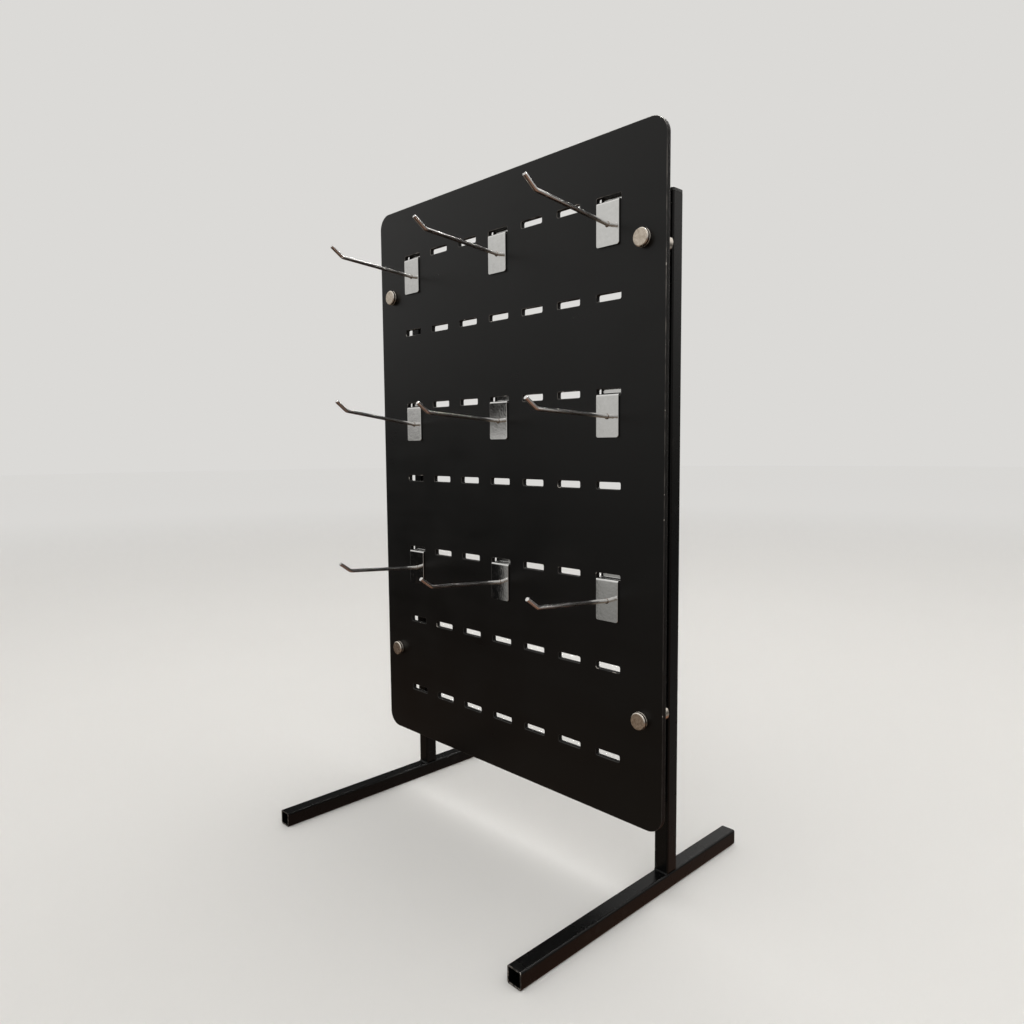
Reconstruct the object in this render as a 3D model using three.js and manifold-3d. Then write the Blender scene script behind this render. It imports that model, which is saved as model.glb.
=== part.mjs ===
// Countertop pegboard stand: a slotted black panel held by four standoffs in front of two
// square-tube posts on long tube feet, with nine plate-and-wire hooks hanging in its slots.
// Millimetres.  +X to the right seen from the front, +Y towards the back, +Z up.
// The origin is on the table, midway between the feet and midway along them.
import * as THREE from "three";
import { mergeVertices } from "three/addons/utils/BufferGeometryUtils.js";
import Module from "manifold-3d";

const wasm = await Module();
wasm.setup();

// ---------------------------------------------------------------- driving dimensions
const touchGap = 0.3; // left between pieces that touch

const panelWidth = 400;
const panelHeight = 605;
const panelThickness = 5;
const panelBottomZ = 68; // underside of the panel above the table
const panelFrontY = 4;
const panelCornerRadius = 16;

const slotRows = 7;
const slotColumns = 7;
const slotRowPitch = 82.2;
const slotColumnPitch = 46.7;
const slotLength = 27.4;
const slotHeight = 6.4;
const slotCornerRadius = 1.5;

const tubeSize = 15;
const tubeWall = 1.5;
const tubeCornerRadius = 2;
const boreCornerRadius = 0.6;
const footLength = 306;
const postSpacing = 355; // centre to centre
const postFrontY = 35;
const postTopZ = 621;

const plugFlange = 3;
const plugDepth = 12;

const standoffUpperZ = 577.6;
const standoffLowerZ = 166.2;
const standoffRadius = 8;
const standoffCapLength = 5.3;
const standoffChamfer = 0.6;
const studRadius = 3;
const studHoleRadius = 3.3;
const studReach = 12; // how far the stud enters the barrel
const barrelBoreDepth = 14;
const spigotRadius = 2.5;
const spigotHoleRadius = 2.8;
const spigotReach = 4;

const hookRows = [1, 3, 5];
const hookColumns = [1, 4, 7];
// Rise of each arm, hook row by hook row, left to right: the wires are bent by hand.
const armRiseDeg = [
  [4.7, 5.1, 6.3],
  [8.4, 4.0, 2.8],
  [4.3, 4.5, 4.6],
];
const plateWidth = 25;
const plateThickness = 1.6;
const plateBottomDrop = 39.5; // below the slot's centre line
const plateBendRadius = 0.6; // inside of the bend over the slot's edge
const lipBendRadius = 1.2; // inside of the bend behind the panel
const plateCornerRadius = 1.8;
const lipRise = 7; // lip top above the slot's centre line
const wireRadius = 1.9;
const wireSides = 14;
const armRootDrop = 21; // below the slot's centre line
const armReach = 88; // from the plate's front face to the tip bend
const tipBendRadius = 8;
const tipLength = 15.5;
const tipBendDeg = 31; // turned up from the arm

const arcSegments = 3;
const roundSegments = 24;

// ---------------------------------------------------------------- derived positions
const panelCentreZ = panelBottomZ + panelHeight / 2;
const panelBackY = panelFrontY + panelThickness;
const slotRowZ = (row) => panelCentreZ + (4 - row) * slotRowPitch;
const slotColumnX = (column) => (column - 4) * slotColumnPitch;
const standoffXs = { left: -postSpacing / 2, right: postSpacing / 2 };
const standoffZs = { upper: standoffUpperZ, lower: standoffLowerZ };

// ---------------------------------------------------------------- finishes
const finish = {
  panel: { color: 0x1b1b1b, roughness: 0.42, metalness: 0.0 },
  stand: { color: 0x141414, roughness: 0.38, metalness: 0.3 },
  plug: { color: 0x101010, roughness: 0.5, metalness: 0.0 },
  standoff: { color: 0xb4aca2, roughness: 0.32, metalness: 1.0 },
  hook: { color: 0xcfd2d4, roughness: 0.14, metalness: 1.0 },
};

const group = new THREE.Group();

function addNode(name, geometry, look, position = [0, 0, 0]) {
  const mesh = new THREE.Mesh(geometry, new THREE.MeshStandardMaterial(finish[look]));
  mesh.name = name;
  mesh.position.set(...position);
  group.add(mesh);
}

// ---------------------------------------------------------------- shape helpers
// Points round a circular arc, both ends included.
function arcPoints(cx, cy, radius, from, to, segments) {
  const points = [];
  for (let i = 0; i <= segments; i++) {
    const angle = from + ((to - from) * i) / segments;
    points.push(new THREE.Vector2(cx + radius * Math.cos(angle), cy + radius * Math.sin(angle)));
  }
  return points;
}

// A rounded rectangle centred on (cx, cy), anticlockwise.
function roundedRect(cx, cy, width, height, radius, segments = arcSegments) {
  const dx = width / 2 - radius;
  const dy = height / 2 - radius;
  const quarter = Math.PI / 2;
  const corners = [[dx, -dy], [dx, dy], [-dx, dy], [-dx, -dy]];
  return corners.flatMap(([x, y], i) =>
    arcPoints(cx + x, cy + y, radius, (i - 1) * quarter, i * quarter, segments));
}

function circle(cx, cy, radius, segments = roundSegments) {
  return arcPoints(cx, cy, radius, 0, 2 * Math.PI * (1 - 1 / segments), segments - 1);
}

// Extrudes an outline of points, with any holes in it, along +Z from z = 0.
function extrude(outline, depth, holes = []) {
  const shape = new THREE.Shape(outline);
  shape.holes = holes.map((points) => new THREE.Path(points));
  return new THREE.ExtrudeGeometry(shape, { depth, bevelEnabled: false, steps: 1 });
}

// The same, with the outline drawn in X-Z and extruded along +Y from y = 0.
function extrudeAlongY(outline, depth, holes) {
  const geometry = extrude(outline, depth, holes);
  geometry.rotateX(Math.PI / 2);
  geometry.translate(0, depth, 0);
  return geometry;
}

function toManifold(geometry) {
  const bare = new THREE.BufferGeometry();
  bare.setAttribute("position", geometry.getAttribute("position").clone());
  if (geometry.index) bare.setIndex(geometry.index.clone());
  const merged = mergeVertices(bare, 1e-5);
  const vertProperties = new Float32Array(merged.getAttribute("position").array);
  const triVerts = new Uint32Array(merged.index.array);
  return new wasm.Manifold(new wasm.Mesh({ numProp: 3, vertProperties, triVerts }));
}

function fromManifold(solid) {
  const mesh = solid.getMesh();
  const geometry = new THREE.BufferGeometry();
  geometry.setAttribute("position", new THREE.BufferAttribute(new Float32Array(mesh.vertProperties), 3));
  geometry.setIndex(new THREE.BufferAttribute(new Uint32Array(mesh.triVerts), 1));
  geometry.computeVertexNormals();
  return geometry;
}

// Revolves [radius, along] pairs about Y; the profile starts and ends on the axis.
function revolve(profile, segments = roundSegments) {
  return new THREE.LatheGeometry(profile.map(([r, y]) => new THREE.Vector2(r, y)), segments);
}

// ---------------------------------------------------------------- panel
// Drawn about its own centre.
function makePanel() {
  const outline = roundedRect(0, 0, panelWidth, panelHeight, panelCornerRadius, 8);
  const holes = [];
  for (let row = 1; row <= slotRows; row++) {
    for (let column = 1; column <= slotColumns; column++) {
      const z = slotRowZ(row) - panelCentreZ;
      holes.push(roundedRect(slotColumnX(column), z, slotLength, slotHeight, slotCornerRadius));
    }
  }
  for (const x of Object.values(standoffXs)) {
    for (const z of Object.values(standoffZs)) {
      holes.push(circle(x, z - panelCentreZ, studHoleRadius));
    }
  }
  return extrudeAlongY(outline, panelThickness, holes);
}

// ---------------------------------------------------------------- square tube, open at both ends
const tubeOutline = roundedRect(0, 0, tubeSize, tubeSize, tubeCornerRadius);
const boreSize = tubeSize - 2 * tubeWall;
const boreOutline = roundedRect(0, 0, boreSize, boreSize, boreCornerRadius);

function makeFoot() {
  const geometry = extrudeAlongY(tubeOutline, footLength, [boreOutline]);
  geometry.translate(0, -footLength / 2, tubeSize / 2);
  return geometry;
}

const postBottomZ = tubeSize + touchGap;

function makePost() {
  const tube = extrude(tubeOutline, postTopZ - postBottomZ, [boreOutline]);
  tube.translate(0, postFrontY + tubeSize / 2, postBottomZ);
  let solid = toManifold(tube);
  for (const z of Object.values(standoffZs)) {
    const drill = new THREE.CylinderGeometry(spigotHoleRadius, spigotHoleRadius, 3 * tubeWall, 16);
    drill.translate(0, postFrontY + tubeWall / 2, z);
    solid = solid.subtract(toManifold(drill));
  }
  return fromManifold(solid);
}

// Plastic plug closing the post's top: a flange as wide as the tube on a smaller stem.
function makePlug() {
  const stemSize = boreSize - 2 * touchGap;
  const flange = extrude(tubeOutline, plugFlange);
  const stem = extrude(roundedRect(0, 0, stemSize, stemSize, boreCornerRadius), plugDepth + 1);
  stem.translate(0, 0, -plugDepth);
  return fromManifold(toManifold(flange).add(toManifold(stem)));
}

// ---------------------------------------------------------------- standoffs, along +Y
// Cap: y = 0 is the face that bears on the panel, its stud runs back through the panel.
function makeStandoffCap() {
  const studLength = panelThickness + 2 * touchGap + studReach;
  return revolve([
    [0, -standoffCapLength],
    [standoffRadius - standoffChamfer, -standoffCapLength],
    [standoffRadius, -standoffCapLength + standoffChamfer],
    [standoffRadius, 0],
    [studRadius, 0],
    [studRadius, studLength],
    [0, studLength],
  ]);
}

// Barrel: y = 0 is the end behind the panel; the spigot at the far end enters the post.
const barrelLength = postFrontY - panelBackY - 2 * touchGap;

function makeStandoffBarrel() {
  const spigotEnd = barrelLength + touchGap + spigotReach;
  return revolve([
    [0, barrelBoreDepth],
    [studHoleRadius, barrelBoreDepth],
    [studHoleRadius, 0],
    [standoffRadius, 0],
    [standoffRadius, barrelLength],
    [spigotRadius, barrelLength],
    [spigotRadius, spigotEnd],
    [0, spigotEnd],
  ]);
}

// ---------------------------------------------------------------- hooks
// Local frame: x = 0 on the slot's centre, y = 0 on the panel's front face,
// z = 0 on the slot's centre line.
// Strip plate: hangs in front of the panel, passes back through the slot over its lower edge
// and turns up behind the panel as a lip.
function makeHookPlate() {
  const leafBack = -touchGap;
  const leafFront = leafBack - plateThickness;
  const webBottom = -slotHeight / 2 + touchGap;
  const webTop = webBottom + plateThickness;
  const lipFront = panelThickness + touchGap;
  const lipBack = lipFront + plateThickness;
  const edgeOuter = plateBendRadius + plateThickness;
  const lipOuter = lipBendRadius + plateThickness;
  const quarter = Math.PI / 2;
  const bend = (y, z, radius, from, to) => arcPoints(y, z, radius, from, to, 4);
  // Drawn with Y to the right and Z up, anticlockwise from the foot of the leaf.
  const side = [
    new THREE.Vector2(leafFront, -plateBottomDrop),
    new THREE.Vector2(leafBack, -plateBottomDrop),
    ...bend(leafBack + plateBendRadius, webBottom - plateBendRadius, plateBendRadius, 2 * quarter, quarter),
    ...bend(lipBack - lipOuter, webBottom + lipOuter, lipOuter, -quarter, 0),
    new THREE.Vector2(lipBack, lipRise),
    new THREE.Vector2(lipFront, lipRise),
    ...bend(lipFront - lipBendRadius, webTop + lipBendRadius, lipBendRadius, 0, -quarter),
    ...bend(leafFront + edgeOuter, webTop - edgeOuter, edgeOuter, quarter, 2 * quarter),
  ];
  const strip = extrude(side, plateWidth);
  // Turns the drawing's right, up and depth into +Y, +Z and +X.
  strip.rotateX(quarter);
  strip.rotateZ(quarter);
  strip.translate(-plateWidth / 2, 0, 0);
  // Its corners are rounded by the part of it that lies inside a rounded block.
  const blockHeight = plateBottomDrop + lipRise;
  const blockCentreZ = (lipRise - plateBottomDrop) / 2;
  const outline = roundedRect(0, blockCentreZ, plateWidth, blockHeight, plateCornerRadius, 4);
  const face = extrudeAlongY(outline, lipBack - leafFront + 2);
  face.translate(0, leafFront - 1, 0);
  return fromManifold(toManifold(strip).intersect(toManifold(face)));
}

// Centre line of the wire in the Y-Z plane: a straight arm, then the upturned tip.
function armStations(riseDeg) {
  const rise = THREE.MathUtils.degToRad(riseDeg);
  const tip = THREE.MathUtils.degToRad(riseDeg + tipBendDeg);
  const startY = -touchGap - plateThickness - touchGap;
  const bendY = startY - armReach;
  const at = (y) => -armRootDrop + (startY - y) * Math.tan(rise);
  const bend = new THREE.Vector2(bendY, at(bendY));
  const tangentLength = tipBendRadius * Math.tan((tip - rise) / 2);
  const back = new THREE.Vector2(Math.cos(rise), -Math.sin(rise));
  const onward = new THREE.Vector2(-Math.cos(tip), Math.sin(tip));
  const stations = [{ y: startY, z: -armRootDrop, angle: 0 }];
  stations.push({ y: startY - 3, z: at(startY - 3), angle: rise });
  const arcStart = bend.clone().addScaledVector(back, tangentLength);
  const upward = new THREE.Vector2(Math.sin(rise), Math.cos(rise));
  const centre = arcStart.clone().addScaledVector(upward, tipBendRadius);
  const steps = 4;
  for (let i = 0; i <= steps; i++) {
    const angle = rise + ((tip - rise) * i) / steps;
    const y = centre.x - Math.sin(angle) * tipBendRadius;
    const z = centre.y - Math.cos(angle) * tipBendRadius;
    stations.push({ y, z, angle });
  }
  const end = bend.clone().addScaledVector(onward, tipLength);
  stations.push({ y: end.x, z: end.y, angle: tip });
  return stations;
}

// Sweeps a round section along stations that head towards -Y, rising by each one's angle.
function makeHookArm(riseDeg) {
  const stations = armStations(riseDeg);
  const points = [];
  const triangles = [];
  for (const { y, z, angle } of stations) {
    for (let i = 0; i < wireSides; i++) {
      const turn = (2 * Math.PI * i) / wireSides;
      const across = wireRadius * Math.cos(turn);
      const up = wireRadius * Math.sin(turn);
      points.push(across, y + up * Math.sin(angle), z + up * Math.cos(angle));
    }
  }
  for (let s = 0; s + 1 < stations.length; s++) {
    for (let i = 0; i < wireSides; i++) {
      const next = (i + 1) % wireSides;
      const a = s * wireSides + i;
      const b = s * wireSides + next;
      triangles.push(a, b, b + wireSides, a, b + wireSides, a + wireSides);
    }
  }
  const last = (stations.length - 1) * wireSides;
  for (let i = 1; i + 1 < wireSides; i++) {
    triangles.push(0, i + 1, i);
    triangles.push(last, last + i, last + i + 1);
  }
  const geometry = new THREE.BufferGeometry();
  geometry.setAttribute("position", new THREE.BufferAttribute(new Float32Array(points), 3));
  geometry.setIndex(triangles);
  geometry.computeVertexNormals();
  return geometry;
}

// ---------------------------------------------------------------- assembly
addNode("panel", makePanel(), "panel", [0, panelFrontY, panelCentreZ]);

for (const [side, x] of Object.entries(standoffXs)) {
  addNode(`${side}_foot`, makeFoot(), "stand", [x, 0, 0]);
  addNode(`${side}_post`, makePost(), "stand", [x, 0, 0]);
  addNode(`${side}_post_plug`, makePlug(), "plug", [x, postFrontY + tubeSize / 2, postTopZ + touchGap]);
  for (const [level, z] of Object.entries(standoffZs)) {
    const place = `${level}_${side}`;
    const capY = panelFrontY - touchGap;
    const barrelY = panelBackY + touchGap;
    addNode(`standoff_cap_${place}`, makeStandoffCap(), "standoff", [x, capY, z]);
    addNode(`standoff_barrel_${place}`, makeStandoffBarrel(), "standoff", [x, barrelY, z]);
  }
}

hookRows.forEach((row, i) => {
  hookColumns.forEach((column, j) => {
    const place = [slotColumnX(column), panelFrontY, slotRowZ(row)];
    addNode(`hook_plate_r${row}c${column}`, makeHookPlate(), "hook", place);
    addNode(`hook_arm_r${row}c${column}`, makeHookArm(armRiseDeg[i][j]), "hook", place);
  });
});

export default group;
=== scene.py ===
"""Looks for a countertop pegboard stand: a slotted black panel on four standoffs, two square-tube
posts on tube feet, and nine plate-and-wire hooks.  Everything is in metres, in the frame's axes:
+X to the right seen from the front, +Y towards the back, +Z up."""
import math
import random

import bmesh
import bpy
from mathutils import Matrix, Vector


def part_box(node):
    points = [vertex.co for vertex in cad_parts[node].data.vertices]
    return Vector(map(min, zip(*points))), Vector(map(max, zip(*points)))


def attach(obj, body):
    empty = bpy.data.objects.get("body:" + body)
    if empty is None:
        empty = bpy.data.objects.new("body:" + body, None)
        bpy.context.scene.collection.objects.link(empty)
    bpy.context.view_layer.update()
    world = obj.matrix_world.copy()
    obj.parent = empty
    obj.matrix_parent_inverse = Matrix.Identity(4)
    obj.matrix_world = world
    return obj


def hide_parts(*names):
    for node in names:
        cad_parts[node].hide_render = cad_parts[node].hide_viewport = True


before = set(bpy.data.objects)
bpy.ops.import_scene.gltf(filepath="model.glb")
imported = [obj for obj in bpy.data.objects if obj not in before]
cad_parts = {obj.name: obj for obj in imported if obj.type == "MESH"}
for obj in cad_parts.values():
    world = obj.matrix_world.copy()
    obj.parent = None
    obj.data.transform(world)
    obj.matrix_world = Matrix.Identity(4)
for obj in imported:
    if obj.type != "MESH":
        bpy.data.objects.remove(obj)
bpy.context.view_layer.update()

MM = 0.001
QUARTER = math.pi / 2

# ---------------------------------------------------------------- sizes shared with the CAD part
TOUCH_GAP = 0.3 * MM
SEAT_GAP = 0.05 * MM

SLOT_ROWS = 7
SLOT_COLUMNS = 7
SLOT_ROW_PITCH = 82.2 * MM
SLOT_COLUMN_PITCH = 46.7 * MM
SLOT_LENGTH = 27.4 * MM
SLOT_HEIGHT = 6.4 * MM
SLOT_CORNER = 1.5 * MM
SLOT_CORNER_STEPS = 6
PANEL_CORNER = 16 * MM
STUD_HOLE_RADIUS = 3.3 * MM
PANEL_EDGE_EASE = 0.45 * MM

TUBE_SIZE = 15 * MM
TUBE_WALL = 1.5 * MM
TUBE_CORNER = 2 * MM
BORE_CORNER = 0.6 * MM
TUBE_END_EASE = 0.25 * MM
PLUG_CROWN = 0.7 * MM
WELD_WIDTH = 1.3 * MM
WELD_HEIGHT = 1.2 * MM

STANDOFF_RADIUS = 8 * MM
CAP_CHAMFER = 1.0 * MM
CAP_GROOVE_DEPTH = 0.25 * MM
STUD_RADIUS = 3 * MM
STUD_CHAMFER = 0.5 * MM
BARREL_EASE = 0.5 * MM
BARREL_BORE_DEPTH = 14 * MM
SPIGOT_RADIUS = 2.5 * MM

HOOK_ROWS = (1, 3, 5)
HOOK_COLUMNS = (1, 4, 7)
ARM_RISE_DEG = ((4.7, 5.1, 6.3), (8.4, 4.0, 2.8), (4.3, 4.5, 4.6))
PLATE_WIDTH = 25 * MM
PLATE_THICKNESS = 1.6 * MM
PLATE_DROP = 39.5 * MM
PLATE_BEND = 0.6 * MM
LIP_BEND = 1.2 * MM
LIP_RISE = 7 * MM
PLATE_CORNER = 1.8 * MM
PLATE_EDGE_EASE = 0.5 * MM
WIRE_RADIUS = 1.9 * MM
ARM_ROOT_DROP = 21 * MM
ARM_REACH = 88 * MM
TIP_BEND_RADIUS = 8 * MM
TIP_LENGTH = 15.5 * MM
TIP_BEND_DEG = 31
TIP_EASE = 0.3 * MM

# How finely round stretches are cut.
CORNER_STEPS = 8
BEND_STEPS = 6
TIP_BEND_STEPS = 10
WIRE_SIDES = 28

# For each plate, in degrees: how far its shine tips upwards, how much further it does so at the
# foot than at the top, and how far it turns outwards at the sides.  Only the shading leans.
PLATE_LEAN_DEG = (
    ((0, 0, 0.3), (0, 0, 0.3), (0, 0, 0.4)),
    ((3.2, 0.5, 0.3), (-1.2, 12.0, 0.2), (0.7, 0, 0.5)),
    ((-2.0, 0, 0.2), (-0.2, 1.0, 3.2), (2.0, 0, 1.5)),
)

# ---------------------------------------------------------------- places taken from the frame
panel_low, panel_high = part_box("panel")
PANEL_WIDTH = panel_high.x - panel_low.x
PANEL_HEIGHT = panel_high.z - panel_low.z
PANEL_FRONT = panel_low.y
PANEL_THICKNESS = panel_high.y - panel_low.y
PANEL_CENTRE_Z = (panel_low.z + panel_high.z) / 2


def slot_x(column):
    return (column - 4) * SLOT_COLUMN_PITCH


def slot_z(row):
    return PANEL_CENTRE_Z + (4 - row) * SLOT_ROW_PITCH


# ---------------------------------------------------------------- outline helpers
def arc(cx, cy, radius, start, end, segments):
    """Points round an arc, both ends included."""
    turns = (start + (end - start) * i / segments for i in range(segments + 1))
    return [(cx + radius * math.cos(t), cy + radius * math.sin(t)) for t in turns]


def rounded_rect(cx, cy, width, height, radius, segments=CORNER_STEPS):
    """A rounded rectangle about (cx, cy), anticlockwise."""
    dx, dy = width / 2 - radius, height / 2 - radius
    corners = ((dx, -dy), (dx, dy), (-dx, dy), (-dx, -dy))
    points = []
    for i, (x, y) in enumerate(corners):
        points += arc(cx + x, cy + y, radius, (i - 1) * QUARTER, i * QUARTER, segments)
    return points


def circle(cx, cy, radius, segments):
    return arc(cx, cy, radius, 0, 2 * math.pi * (1 - 1 / segments), segments - 1)


# ---------------------------------------------------------------- mesh helpers
def add_ring(bm, points):
    return [bm.verts.new(p) for p in points]


def bridge(bm, ring_a, ring_b, material=0):
    """Quads between two rings of the same length."""
    count = len(ring_a)
    for i in range(count):
        j = (i + 1) % count
        face = bm.faces.new((ring_a[i], ring_a[j], ring_b[j], ring_b[i]))
        face.material_index = material


def loft(bm, rings):
    """A closed skin through the rings, with a flat face at each end."""
    made = [add_ring(bm, ring) for ring in rings]
    for ring_a, ring_b in zip(made, made[1:]):
        bridge(bm, ring_a, ring_b)
    bm.faces.new(made[0])
    bm.faces.new(made[-1])
    return made


def bridge_round(bm, rings, material=0):
    """Bridges the rings in turn, and the last one back to the first."""
    for ring_a, ring_b in zip(rings, rings[1:] + rings[:1]):
        bridge(bm, ring_a, ring_b, material)


def store(bm, name, value_at):
    """Keeps a number per vertex, worked out from the vertex's place, for a material to read."""
    layer = bm.verts.layers.float.new(name)
    for vert in bm.verts:
        vert[layer] = value_at(vert.co)


def store_wire_skin(layer, rings):
    """Keeps each vertex's place on the unbent wire, stretched so that noise becomes long marks."""
    round_scale, along_scale = 12, 45
    along = 0.0
    for i, ring in enumerate(rings):
        if i:
            along += (ring[0].co - rings[i - 1][0].co).length
        for j, vert in enumerate(ring):
            turn = 2 * math.pi * j / len(ring)
            vert[layer] = Vector((round_scale * math.cos(turn), round_scale * math.sin(turn),
                                  along_scale * along))


def finish_piece(name, bm, body, node, materials, sharp_deg=38, weighted=True):
    """Turns a bmesh into a piece that stands for a CAD node and rides on its body.  Edges that
    turn by more than sharp_deg stay sharp."""
    bmesh.ops.recalc_face_normals(bm, faces=bm.faces)
    limit = math.radians(sharp_deg)
    for edge in bm.edges:
        edge.smooth = edge.smooth and edge.calc_face_angle(0) < limit
    for face in bm.faces:
        face.smooth = True
    mesh = bpy.data.meshes.new(name)
    bm.to_mesh(mesh)
    bm.free()
    piece = bpy.data.objects.new(name, mesh)
    bpy.context.scene.collection.objects.link(piece)
    for material in materials:
        mesh.materials.append(material)
    if weighted:
        modifier = piece.modifiers.new("weighted_normals", "WEIGHTED_NORMAL")
        modifier.keep_sharp = True
    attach(piece, body)
    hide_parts(node)


def revolve(bm, profile, place, material_at=lambda i: 0, segments=64):
    """Revolves (radius, along) pairs about +Y from place; an end at radius 0 closes to a point."""
    rings = []
    for radius, along in profile:
        centre = Vector((place[0], place[1] + along, place[2]))
        if radius == 0:
            rings.append([bm.verts.new(centre)])
            continue
        turns = (2 * math.pi * i / segments for i in range(segments))
        rings.append(add_ring(bm, [
            centre + Vector((radius * math.cos(t), 0, radius * math.sin(t))) for t in turns]))
    for i, (ring_a, ring_b) in enumerate(zip(rings, rings[1:])):
        if len(ring_a) == 1 or len(ring_b) == 1:
            tip, ring = (ring_a[0], ring_b) if len(ring_a) == 1 else (ring_b[0], ring_a)
            for j in range(segments):
                face = bm.faces.new((tip, ring[j], ring[(j + 1) % segments]))
                face.material_index = material_at(i)
        else:
            bridge(bm, ring_a, ring_b, material_at(i))


# ---------------------------------------------------------------- material helpers
class Shader:
    """A Principled material and the few groups of nodes that the finishes share.  Its colour and
    roughness are the finish's plain values, before a finish varies them."""

    def __init__(self, name, colour, roughness, metallic=0.0, specular=None):
        self.material = bpy.data.materials.new(name)
        self.material.use_nodes = True
        self.tree = self.material.node_tree
        self.bsdf = self.tree.nodes["Principled BSDF"]
        self.bsdf.inputs["Base Color"].default_value = (*colour, 1)
        self.bsdf.inputs["Roughness"].default_value = roughness
        self.bsdf.inputs["Metallic"].default_value = metallic
        if specular is not None:
            self.bsdf.inputs["Specular IOR Level"].default_value = specular
        self.coords = self.node("ShaderNodeTexCoord").outputs["Object"]

    def node(self, kind, **values):
        made = self.tree.nodes.new(kind)
        for key, value in values.items():
            setattr(made, key, value)
        return made

    def link(self, source, target):
        self.tree.links.new(source, target)

    def stretched(self, scale):
        """Object coordinates multiplied by scale, for grain that runs one way."""
        mapping = self.node("ShaderNodeMapping")
        mapping.inputs["Scale"].default_value = scale
        self.link(self.coords, mapping.inputs["Vector"])
        return mapping.outputs["Vector"]

    def noise(self, scale, detail, vector=None):
        texture = self.node("ShaderNodeTexNoise")
        texture.inputs["Scale"].default_value = scale
        texture.inputs["Detail"].default_value = detail
        self.link(vector or self.coords, texture.inputs["Vector"])
        return texture.outputs["Fac"]

    def speckle(self, scale, size):
        """1 in small dots, 0 elsewhere; size is the dot's share of a cell."""
        texture = self.node("ShaderNodeTexVoronoi")
        texture.inputs["Scale"].default_value = scale
        self.link(self.coords, texture.inputs["Vector"])
        return self.remap(texture.outputs["Distance"], size, size * 0.6, 0, 1)

    def remap(self, value, from_low, from_high, to_low, to_high):
        made = self.node("ShaderNodeMapRange")
        made.inputs["From Min"].default_value = from_low
        made.inputs["From Max"].default_value = from_high
        made.inputs["To Min"].default_value = to_low
        made.inputs["To Max"].default_value = to_high
        self.link(value, made.inputs["Value"])
        return made.outputs["Result"]

    def stored(self, name, output="Fac"):
        """A number or a place kept per vertex under this name."""
        return self.node("ShaderNodeAttribute", attribute_name=name).outputs[output]

    def math(self, operation, a, b):
        made = self.node("ShaderNodeMath", operation=operation)
        for socket, value in zip(made.inputs, (a, b)):
            if isinstance(value, (int, float)):
                socket.default_value = value
            else:
                self.link(value, socket)
        return made.outputs["Value"]

    def mix(self, factor, colour_a, colour_b):
        """Colour a where the factor is 0, colour b where it is 1."""
        made = self.node("ShaderNodeMix", data_type="RGBA")
        self.link(factor, made.inputs["Factor"])
        # The node has a pair of sockets each for numbers, vectors and colours: these are the last.
        sockets = made.inputs[6], made.inputs[7]
        for socket, value in zip(sockets, (colour_a, colour_b)):
            if isinstance(value, tuple):
                socket.default_value = (*value, 1)
            else:
                self.link(value, socket)
        return made.outputs[2]

    def bump(self, height, distance, strength=1.0, under=None):
        made = self.node("ShaderNodeBump")
        made.inputs["Distance"].default_value = distance
        made.inputs["Strength"].default_value = strength
        self.link(height, made.inputs["Height"])
        if under is not None:
            self.link(under, made.inputs["Normal"])
        return made.outputs["Normal"]

    def height(self):
        """Height above the table, in metres."""
        split = self.node("ShaderNodeSeparateXYZ")
        self.link(self.coords, split.inputs[0])
        return split.outputs["Z"]

    def set(self, name, source):
        self.link(source, self.bsdf.inputs[name])


# ---------------------------------------------------------------- finishes
def panel_face_material():
    """Satin black sheet: fine moulded grain, faint smudges and a little dust."""
    s = Shader("panel_satin_black", (0.0016, 0.0015, 0.0014), 0.34, specular=0.30)
    smudge = s.noise(14, 5)
    streak = s.noise(1, 4, s.stretched((9, 9, 60)))
    s.set("Roughness", s.math("ADD", s.remap(smudge, 0.3, 0.7, 0.27, 0.38),
                              s.remap(streak, 0.3, 0.7, -0.02, 0.03)))
    dust = s.math("MULTIPLY", s.speckle(420, 0.055), s.remap(s.noise(9, 2), 0.48, 0.62, 0, 1))
    cloud = s.remap(s.noise(5, 3), 0.35, 0.65, 0, 1)
    tone = s.mix(cloud, (0.0010, 0.0009, 0.0008), (0.0020, 0.0018, 0.0016))
    s.set("Base Color", s.mix(dust, tone, (0.012, 0.0118, 0.0115)))
    grain = s.bump(s.noise(2600, 2), 0.000012, 0.6)
    s.set("Normal", s.bump(s.noise(7, 2), 0.0006, 0.35, grain))
    return s.material


def panel_side_material():
    """The sheet's cut side and the walls of its slots: duller black with saw marks across."""
    s = Shader("panel_cut_side", (0.003, 0.0028, 0.0026), 0.55, specular=0.2)
    s.set("Base Color", s.mix(s.noise(160, 4), (0.0018, 0.0017, 0.0016), (0.0055, 0.005, 0.0045)))
    s.set("Roughness", s.remap(s.noise(300, 3), 0.3, 0.7, 0.5, 0.65))
    saw = s.noise(1, 3, s.stretched((1500, 120, 1500)))
    s.set("Normal", s.bump(saw, 0.00004, 0.4))
    return s.material


def panel_arris_material():
    """The eased corner between face and side, painted paler in patches as a highlight along the edge,
    most of all round the panel's top half, with pale nicks where the black is chipped."""
    s = Shader("panel_arris_highlight", (0.05, 0.045, 0.04), 0.4, specular=0.5)
    # Painted highlight: the arris is painted paler in patches, more so towards the top of the panel.
    highlight_reach = s.remap(s.height(), 0.30, 0.54, 0.2, 1)
    arris_highlight = s.math("MULTIPLY", highlight_reach, s.remap(s.noise(90, 4), 0.4, 0.65, 0, 1))
    lit_arris = s.mix(arris_highlight, (0.008, 0.0072, 0.0065), (0.10, 0.090, 0.08))
    nick = s.remap(s.noise(110, 3), 0.665, 0.69, 0, 1)
    s.set("Base Color", s.mix(nick, lit_arris, (0.35, 0.32, 0.29)))
    s.set("Roughness", s.remap(s.noise(300, 3), 0.3, 0.7, 0.35, 0.5))
    return s.material


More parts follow.
